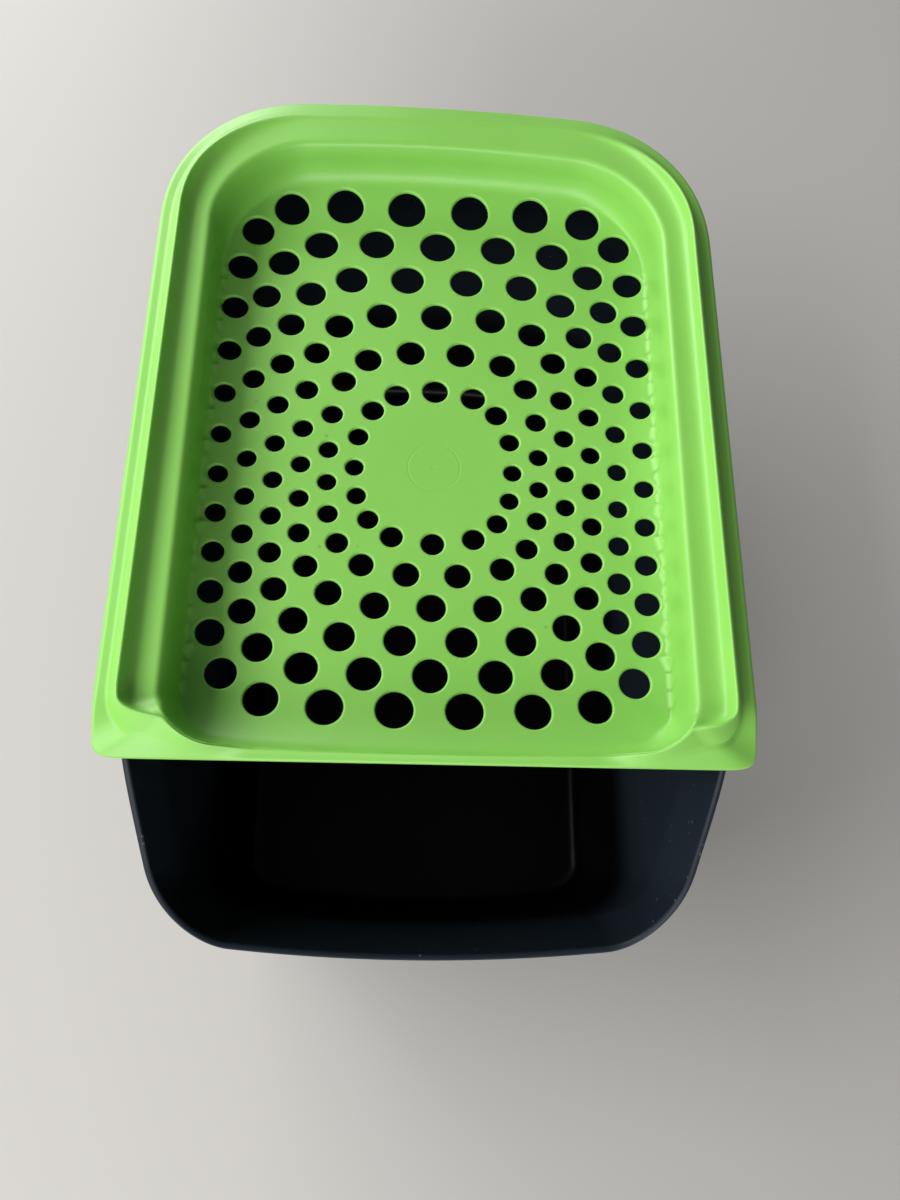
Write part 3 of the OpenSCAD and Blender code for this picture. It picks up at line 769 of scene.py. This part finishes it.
@dataclass
class OpenBin:
    """The one-piece bin: foot ring, drafted walls, flared band and sloping front opening.

    Sizes are in millimetres and angles in degrees. The powers are those of superelliptic corners.
    """

    lid: VentLid
    front_y: float
    wall_t: float = 2.2
    rim_inset: float = 6.6
    side_draft: float = 5.2
    front_draft: float = 7.0
    lip_h: float = 92.0
    front_slope: float = 46.5
    front_r: float = 22.0
    front_bow: float = 6.5
    back_power: float = 2.15
    band_h: float = 26.0
    side_lean: float = 2.4
    front_lean: float = 6.6
    foot_h: float = 1.2
    foot_w: float = 10.0
    floor_t: float = 2.4
    floor_in: float = 9.0
    rim_below: float = 5.9
    fit_gap: float = 0.3
    seat_gap: float = 0.2
    back_gap: float = 0.4
    least_r: float = 5.0
    rim_bend: float = 8.0

    def __post_init__(self) -> None:
        """Works out the rim from the lid that it carries."""
        lid = self.lid
        self.top_h = lid.floor_z + lid.ledge_z + lid.ridge_h - self.rim_below - self.fit_gap
        self.low = self.top_h - (lid.floor_z + lid.ledge_z - lid.shell_t - self.fit_gap - self.seat_gap)
        self.rim_hw = lid.half_w - self.rim_inset
        self.back_y = lid.back_y - self.back_gap - lid.back_bow - self.rim_inset
        drop = self.top_h - self.lip_h
        tan_side, tan_front = np.tan(np.radians([self.side_draft, self.front_draft]))
        self.tan_side, self.tan_front = float(tan_side), float(tan_front)
        self.front_top_y = self.front_y + self.front_bow - drop * self.tan_front
        self.corner_mid = (self.rim_hw - drop * self.tan_side - self.front_r,
                           self.front_y + self.front_bow + self.front_r)

    def line(self, z: Array, inset: float, lean: float) -> Array:
        """Outline of the bin at a height.

        Below the flared band the middles of the front corners follow the draft, so that the corners
        keep their radius down to the foot.

        Args:
            z: heights at the stations.
            inset: distance that the outline is moved inwards.
            lean: share of the flare that is taken off, 0 at the rim and 1 below the band.
        """
        drop = self.top_h - z
        side = drop * self.tan_side + inset + lean * self.side_lean
        front = drop * self.tan_front + inset + lean * self.front_lean
        half_w, front_y = self.rim_hw - side, self.front_top_y + front
        below = np.maximum(0.0, self.lip_h - self.band_h - z)
        mid_x = np.minimum(self.corner_mid[0] - below * self.tan_side, half_w - self.least_r)
        mid_y = np.maximum(self.corner_mid[1] + below * self.tan_front, front_y + self.least_r)
        return Outline(half_w, front_y, self.back_y - side, (mid_x, mid_y), self.lid.back_mid, 2.0,
                       self.back_power, self.front_bow, self.lid.back_bow).walk(self.lid.stations)

    def rim_height(self) -> Array:
        """Height of the rim at each station: level under the lid, then down to the front lip.

        The slope's height depends on y, and y on the height through the draft, so the height is
        found by repeating the step until it settles.
        """
        level = self.top_h - self.low * self.lid.faded
        rim = np.full(len(level), self.top_h)
        for _ in range(8):
            y = self.line(rim, 0.0, 0.0)[:, 1]
            slope = self.lip_h + np.tan(np.radians(self.front_slope)) * (y - self.front_y)
            rim = soft_min(level, slope, self.rim_bend)
        return rim

    def build(self) -> Object:
        """Builds the bin as one closed mesh.

        Its rows run from the recess under the floor over the foot, the wall and the rim to the
        inner floor, and two fans of triangles close the middles.

        Returns:
            The finished object.
        """
        rim = self.rim_height()
        crease, floor = rim - self.band_h, self.foot_h + self.floor_t

        def row(z: Array, inset: float, lean: float, length: float, count: int) -> Control:
            """A control row at the heights z."""
            z = np.broadcast_to(z, len(rim))
            return with_height(self.line(z, inset, lean), z), length, count

        grid = full_ring(rounded_rows([
            row(self.foot_h, self.foot_w + 2.0, 1.0, 0.0, 1),
            row(self.foot_h, self.foot_w + 0.6, 1.0, 0.4, 3),
            row(0.0, self.foot_w, 1.0, 0.4, 3),
            row(0.0, 0.0, 1.0, 4.2, 8),
            row(crease, 0.0, 1.0, 4.0, 8),
            row(rim, 0.0, 0.0, 1.3, 8),
            row(rim, self.wall_t, 0.0, 1.0, 8),
            row(crease, self.wall_t, 1.0, 2.6, 8),
            row(floor, self.wall_t, 1.0, 6.0, 8),
            row(floor, self.wall_t + self.floor_in, 1.0, 0.0, 1),
        ]))
        stations, rows = grid.shape[:2]
        first, hub = np.arange(stations) * rows, stations * rows
        last = first + rows - 1
        fans = [(hub, np.roll(first, -1), first), (hub + 1, last, np.roll(last, -1))]
        triangles = np.concatenate([np.stack(np.broadcast_arrays(*fan), axis=1) for fan in fans])
        points = np.concatenate([grid.reshape(-1, 3), [[0.0, 0.0, self.foot_h], [0.0, 0.0, floor]]])
        quads = ring_faces(stations, rows)
        normals = vertex_normals(points, quads, triangles)
        normals[np.append(first, hub)] = (0.0, 0.0, -1.0)
        normals[np.append(last, hub + 1)] = (0.0, 0.0, 1.0)
        return make_piece("bin_shell", points, quads, triangles, normals)


@dataclass(frozen=True)
class ShaderKit:
    """Short calls that add and join the nodes of a tree."""

    tree: NodeTree

    def add(self, kind: str, inputs: dict | None = None, **values: object) -> Node:
        """Adds a node.

        Args:
            kind: the node's type name.
            inputs: input name or index to a value or to an output socket that feeds it.
            **values: properties of the node itself.
        """
        node = self.tree.nodes.new(kind)
        for key, value in values.items():
            setattr(node, key, value)
        self.fill(node, inputs or {})
        return node

    def fill(self, node: Node, inputs: dict) -> None:
        """Fills inputs of a node: an output socket is joined on, and any other value is set."""
        for key, value in inputs.items():
            if isinstance(value, NodeSocket):
                self.tree.links.new(value, node.inputs[key])
            else:
                node.inputs[key].default_value = value

    def math(self, operation: str, *terms: object) -> NodeSocket:
        """Output of a Math node on the terms."""
        return self.add("ShaderNodeMath", dict(enumerate(terms)), operation=operation).outputs[0]

    def blend(self, share: object, low: object, high: object) -> NodeSocket:
        """Colour between low and high by share."""
        return self.add("ShaderNodeMix", {0: share, 6: low, 7: high}, data_type="RGBA").outputs[2]

    def ramp(self, value: object, low: float, high: float) -> NodeSocket:
        """A value's share of the way from low to high, as a smoothstep."""
        inputs = {0: value, 1: low, 2: high}
        return self.add("ShaderNodeMapRange", inputs, interpolation_type="SMOOTHSTEP").outputs[0]

    def noise(self, place: NodeSocket, scale: object, detail: float) -> NodeSocket:
        """Noise at a place, at a scale."""
        inputs = {"Vector": place, "Scale": scale, "Detail": detail}
        return self.add("ShaderNodeTexNoise", inputs).outputs[0]

    def bump(self, strength: float, height: NodeSocket, normal: NodeSocket | None = None) -> NodeSocket:
        """Normal that a height bends, on top of another normal if one is given."""
        inputs = {"Strength": strength, "Distance": 0.0001, "Height": height}
        if normal is not None:
            inputs["Normal"] = normal
        return self.add("ShaderNodeBump", inputs).outputs[0]


def value_group(name: str, inputs: dict[str, float], outputs: list[str]) -> tuple[ShaderKit, Node, Node]:
    """Starts a node group that takes a vector and numbers and puts out numbers.

    Args:
        name: the group's name.
        inputs: names and first values of the numbers that follow the input "Vector".
        outputs: names of the numbers that it puts out.

    Returns:
        The builder of its tree, its input node and its output node.
    """
    tree = bpy.data.node_groups.new(name, "ShaderNodeTree")
    tree.interface.new_socket("Vector", in_out="INPUT", socket_type="NodeSocketVector")
    for key, value in inputs.items():
        socket = tree.interface.new_socket(key, in_out="INPUT", socket_type="NodeSocketFloat")
        socket.default_value = value
    for key in outputs:
        tree.interface.new_socket(key, in_out="OUTPUT", socket_type="NodeSocketFloat")
    kit = ShaderKit(tree)
    return kit, kit.add("NodeGroupInput"), kit.add("NodeGroupOutput")


def moulded_grain() -> NodeTree:
    """Group for fine moulded grain: a height for the bump and a slow mottle.

    Height is a sum of two fine noises. Mottle is a wide noise, stretched to reach from 0 to 1.
    """
    scales = {"Fine Scale": 2600.0, "Wide Scale": 18.0}
    kit, entry, leave = value_group("moulded_grain", scales, ["Height", "Mottle"])
    place, fine_scale, wide_scale = entry.outputs[:3]
    fine = kit.noise(place, fine_scale, 2.0)
    coarse = kit.noise(place, kit.math("MULTIPLY", fine_scale, 0.31), 1.0)
    wide = kit.noise(place, wide_scale, 4.0)
    kit.fill(leave, {0: kit.math("MULTIPLY_ADD", coarse, 0.8, fine), 1: kit.ramp(wide, 0.3, 0.7)})
    return kit.tree


def dust_specks() -> NodeTree:
    """Group for dust: a mask of small scattered specks, thicker in drifting patches.

    The mask is 1 near the middles of the cells of a Voronoi pattern, for the cells whose random
    colour picks them. A wide noise then weighs it, and the colour also sets each speck's radius.
    """
    kit, entry, leave = value_group("dust_specks", {"Scale": 320.0, "Amount": 0.3}, ["Mask"])
    place, scale, amount = entry.outputs[:3]
    cells = kit.add("ShaderNodeTexVoronoi", {"Vector": place, "Scale": scale})
    pick = kit.add("ShaderNodeSeparateColor", {0: cells.outputs["Color"]})
    chosen = kit.math("LESS_THAN", pick.outputs[0], amount)
    size = kit.math("MULTIPLY_ADD", pick.outputs[1], 0.16, 0.05)
    near = kit.math("LESS_THAN", cells.outputs["Distance"], size)
    patch = kit.ramp(kit.noise(place, 22.0, 3.0), 0.38, 0.62)
    kit.fill(leave, {0: kit.math("MULTIPLY", kit.math("MULTIPLY", chosen, near), patch)})
    return kit.tree


@dataclass(frozen=True)
class MouldedPlastic:
    """What the two finishes share: grain, a roughness that follows its mottle, and specks.

    The roughness runs from its value by its gain as the mottle goes from 0 to 1. The specks have
    a scale and an amount, which is the share of the pattern's cells that hold one.
    """

    roughness: float
    roughness_gain: float
    grain_strength: float
    speck_scale: float
    speck_amount: float

    def begin(self, name: str, grain: NodeTree,
              dust: NodeTree) -> tuple[Material, ShaderKit, dict[str, NodeSocket]]:
        """Starts the material and fills its shader's roughness.

        Returns:
            The material, the builder of its tree, and the outputs "place" (object coordinates),
            "mottle", "specks" and "bump".
        """
        material = bpy.data.materials.new(name)
        material.use_nodes = True
        kit = ShaderKit(material.node_tree)
        place = kit.add("ShaderNodeTexCoord").outputs["Object"]
        height, mottle = kit.add("ShaderNodeGroup", {"Vector": place}, node_tree=grain).outputs[:2]
        inputs = {"Vector": place, "Scale": self.speck_scale, "Amount": self.speck_amount}
        specks = kit.add("ShaderNodeGroup", inputs, node_tree=dust).outputs[0]
        bump = kit.bump(self.grain_strength, height)
        rough = kit.math("MULTIPLY_ADD", mottle, self.roughness_gain, self.roughness)
        kit.fill(material.node_tree.nodes["Principled BSDF"], {"Roughness": rough})
        return material, kit, {"place": place, "mottle": mottle, "specks": specks, "bump": bump}


@dataclass(frozen=True)
class GreenPlastic(MouldedPlastic):
    """Fine satin polypropylene of the lid, lime green and a little translucent."""

    roughness: float = 0.40
    roughness_gain: float = 0.05
    grain_strength: float = 0.12
    speck_scale: float = 240.0
    speck_amount: float = 0.02
    speck_share: float = 0.4
    colour: tuple[float, float, float] = (0.210, 0.505, 0.083)
    deep: tuple[float, float, float] = (0.199, 0.484, 0.078)
    speck_colour: tuple[float, float, float] = (0.09, 0.2, 0.05)
    glow: float = 0.12
    glow_reach: tuple[float, float, float] = (0.6, 1.0, 0.2)
    glow_scale: float = 3.0 * MM
    disc_y: float = 9.1 * MM
    mark_r: float = 9.0 * MM
    mark_strength: float = 0.5

    def marks(self, kit: ShaderKit, place: NodeSocket) -> NodeSocket:
        """Marks on the blank disc, a fine circle and the gate in its middle: 0 in them, 1 off them."""
        flat = kit.add("ShaderNodeVectorMath", {0: place, 1: (1.0, 1.0, 0.0)}, operation="MULTIPLY")
        ends = {0: flat.outputs[0], 1: (0.0, self.disc_y, 0.0)}
        reach = kit.add("ShaderNodeVectorMath", ends, operation="DISTANCE").outputs["Value"]
        ring = kit.math("ABSOLUTE", kit.math("SUBTRACT", reach, self.mark_r))
        return kit.math("MINIMUM", kit.ramp(ring, 0.0001, 0.00045), kit.ramp(reach, 0.0006, 0.0012))

    def material(self, grain: NodeTree, dust: NodeTree) -> Material:
        """The finish, with fine grain, faint mottle, a few specks and the marks."""
        material, kit, found = self.begin("lime_plastic", grain, dust)
        base = kit.blend(found["mottle"], (*self.deep, 1), (*self.colour, 1))
        share = kit.math("MULTIPLY", found["specks"], self.speck_share)
        marks = kit.bump(self.mark_strength, self.marks(kit, found["place"]), found["bump"])
        kit.fill(material.node_tree.nodes["Principled BSDF"], {
            "Base Color": kit.blend(share, base, (*self.speck_colour, 1)), "Normal": marks,
            "Subsurface Weight": self.glow, "Subsurface Radius": self.glow_reach,
            "Subsurface Scale": self.glow_scale})
        return material


@dataclass(frozen=True)
class BlackPlastic(MouldedPlastic):
    """Black satin plastic of the bin. Its upper part gathers fine dust and is lighter and bluish there,
    partly from a dust haze and partly from a painted sheen of the light.
    """

    roughness: float = 0.36
    roughness_gain: float = 0.08
    grain_strength: float = 0.15
    speck_scale: float = 420.0
    speck_amount: float = 0.3
    speck_share: float = 0.7
    colour: tuple[float, float, float] = (0.0004, 0.0005, 0.0006)
    # Lighter bluish colour of the upper part: partly a dust haze, partly a painted sheen of the light's
    # reflection.
    dust_and_painted_sheen: tuple[float, float, float] = (0.0105, 0.0155, 0.0225)
    speck_colour: tuple[float, float, float] = (0.10, 0.105, 0.11)
    shine: float = 0.14
    dust_and_painted_sheen_low: float = 52.0 * MM
    dust_and_painted_sheen_high: float = 78.0 * MM

    def material(self, grain: NodeTree, dust: NodeTree) -> Material:
        """The finish, with fine grain, and above a height with scattered dust and a lighter bluish colour
        that is partly dust haze and partly painted sheen.
        """
        material, kit, found = self.begin("black_plastic", grain, dust)
        height = kit.add("ShaderNodeSeparateXYZ", {0: found["place"]}).outputs["Z"]
        # 0 low down, 1 on the upper part: there the colour turns to the painted sheen, which is partly dust
        #                                  haze, and the dust specks come in; the lower part keeps the black.
        band = kit.ramp(height, self.dust_and_painted_sheen_low, self.dust_and_painted_sheen_high)
        base = kit.blend(band, (*self.colour, 1), (*self.dust_and_painted_sheen, 1))
        share = kit.math("MULTIPLY", kit.math("MULTIPLY", found["specks"], self.speck_share), band)
        kit.fill(material.node_tree.nodes["Principled BSDF"], {
            "Base Color": kit.blend(share, base, (*self.speck_colour, 1)), "Normal": found["bump"],
            "Specular IOR Level": self.shine})
        return material


@dataclass
class Studio:
    """Plain pale floor, soft light and the camera at the photograph's viewing angle."""

    lens_mm: float = 27.3024
    sensor_mm: float = 36.0
    pitch: float = 0.330454
    yaw: float = -0.0564216
    roll: float = 0.0302476
    eye_mm: tuple[float, float, float] = (-10.80, -135.74, 426.0)

    def camera(self) -> None:
        """Places the camera.

        It looks straight down, tips up by the pitch, and then turns by the yaw and the roll about
        its own axes.
        """
        cp, sp = np.cos(self.pitch), np.sin(self.pitch)
        cy, sy = np.cos(self.yaw), np.sin(self.yaw)
        cr, sr = np.cos(self.roll), np.sin(self.roll)
        down = np.diag([1.0, -1.0, -1.0])
        tip = np.array([[1, 0, 0], [0, cp, sp], [0, -sp, cp]])
        turn = np.array([[cy, 0, sy], [0, 1, 0], [-sy, 0, cy]])
        tilt = np.array([[cr, -sr, 0], [sr, cr, 0], [0, 0, 1]])
        right, below, ahead = tilt @ turn @ tip @ down
        axes = np.eye(4)
        axes[:3, 0], axes[:3, 1], axes[:3, 2] = right, -below, -ahead
        axes[:3, 3] = np.array(self.eye_mm) * MM
        data = bpy.data.cameras.new("view")
        data.lens, data.sensor_width, data.sensor_height = self.lens_mm, self.sensor_mm, self.sensor_mm
        data.sensor_fit = "AUTO"
        data.clip_start = 0.01
        camera = bpy.data.objects.new("view", data)
        camera.matrix_world = Matrix(axes.tolist())
        bpy.context.scene.collection.objects.link(camera)
        bpy.context.scene.camera = camera

    def floor(self) -> None:
        """A wide pale floor under the bin."""
        mesh = bpy.data.meshes.new("floor")
        reach = 6.0
        corners = [(-reach, -reach, 0), (reach, -reach, 0), (reach, reach, 0), (-reach, reach, 0)]
        mesh.from_pydata(corners, [], [(0, 1, 2, 3)])
        floor = bpy.data.objects.new("floor", mesh)
        bpy.context.scene.collection.objects.link(floor)
        mat = bpy.data.materials.new("pale_floor")
        mat.use_nodes = True
        shader = mat.node_tree.nodes["Principled BSDF"]
        shader.inputs["Base Color"].default_value = (0.43, 0.415, 0.393, 1)
        shader.inputs["Roughness"].default_value = 0.7
        mesh.materials.append(mat)

    def light(self, name: str, place: tuple[float, float, float], aim: tuple[float, float, float],
              size: tuple[float, float], power: float) -> None:
        """Adds an area light of a size in metres at a place, turned to aim."""
        data = bpy.data.lights.new(name, "AREA")
        data.shape = "RECTANGLE"
        data.size, data.size_y = size
        data.energy = power
        lamp = bpy.data.objects.new(name, data)
        turn = (Vector(aim) - Vector(place)).to_track_quat("-Z", "Y")
        lamp.matrix_world = Matrix.Translation(place) @ turn.to_matrix().to_4x4()
        bpy.context.scene.collection.objects.link(lamp)

    def lights(self) -> None:
        """Three soft panels, at the left, in front and behind on the left, and a faint world."""
        aim = (0.0, 0.0, 0.1)
        self.light("left", (-1.0, 0.0, 1.0), aim, (1.5, 0.6), 18.6)
        self.light("front", (-0.3, -1.2, 0.6), aim, (1.2, 0.8), 18.0)
        self.light("back_left", (-0.8, 1.2, 0.6), aim, (1.2, 0.8), 20.9)
        world = bpy.data.worlds.new("room")
        world.use_nodes = True
        back = world.node_tree.nodes["Background"]
        back.inputs[0].default_value = (0.93, 0.96, 1.0, 1)
        back.inputs[1].default_value = 0.13
        bpy.context.scene.world = world

    def build(self) -> None:
        """Sets up the camera, the floor, the lights and the view."""
        self.camera()
        self.floor()
        self.lights()
        bpy.context.scene.view_settings.view_transform = "Standard"


def dress(piece: Object, material: Material, node: str) -> None:
    """Gives a piece its finish, hides the imported part that it stands for, hangs it under the root body and
    logs which node it stands for.
    """
    piece.data.materials.append(material)
    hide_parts(node)
    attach(piece, "root")
    LOG.info("%s: %d vertices for %s", piece.name, len(piece.data.vertices), node)


def main() -> None:
    """Builds the lid, the bin and the studio in order."""
    logging.basicConfig(level=logging.INFO, format="%(name)s: %(message)s")
    low, high = (np.array(v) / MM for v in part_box("lid"))
    bin_low = np.array(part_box("container")[0]) / MM
    grain, dust = moulded_grain(), dust_specks()
    floor_z = float(high[2]) - (VentLid.ledge_z + VentLid.ridge_h)
    lid = VentLid(floor_z=floor_z, half_w=float(high[0]), front_y=float(low[1]), back_y=float(high[1]))
    dress(lid.build(), GreenPlastic().material(grain, dust), "lid")
    keeper = OpenBin(lid=lid, front_y=float(bin_low[1]))
    dress(keeper.build(), BlackPlastic().material(grain, dust), "container")
    Studio().build()


if __name__ == "__main__":
    main()
